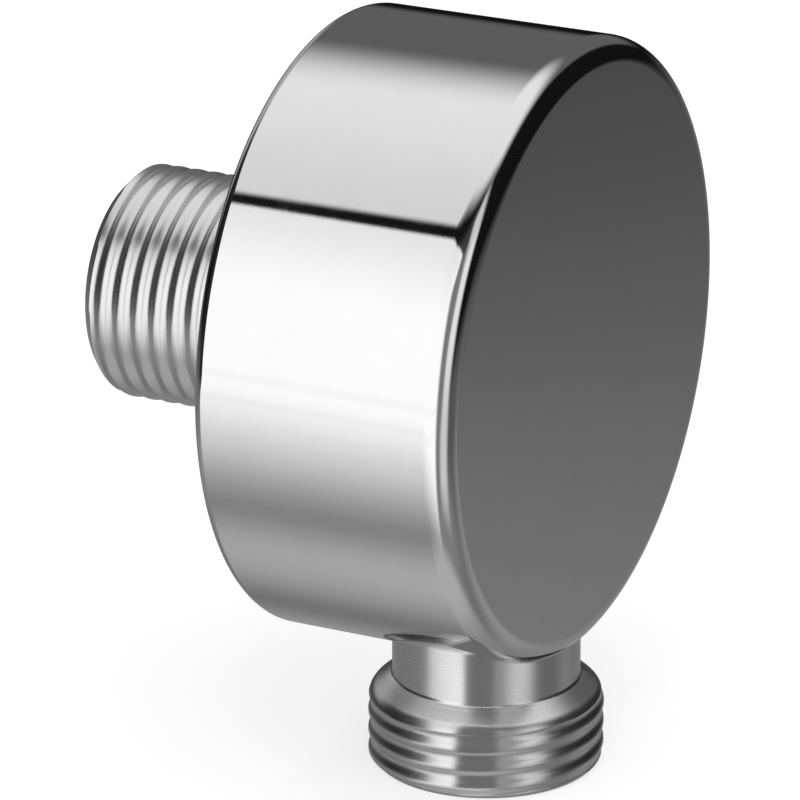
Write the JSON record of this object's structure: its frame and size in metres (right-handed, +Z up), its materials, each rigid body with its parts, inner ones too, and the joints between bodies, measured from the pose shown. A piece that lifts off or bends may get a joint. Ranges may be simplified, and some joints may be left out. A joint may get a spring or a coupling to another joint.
{
  "type": "wall outlet elbow",
  "caption": "Round chrome wall outlet elbow for a shower hose: drum body with a male threaded inlet at the back and a waisted male threaded outlet pointing down.",
  "frame": {"origin": "axis of the drum and inlet, in the plane of the drum's back rim, which lies on the finished wall", "axes": "+Z up, +Y into the wall along the inlet, -Y the way the flat front face looks, -Z along the outlet"},
  "size_m": [0.055, 0.0454, 0.0669],
  "materials": {
    "chrome": "polished chrome plate on brass"
  },
  "bodies": {
    "root": {"elbow_body": "chrome"}
  },
  "joints": []
}
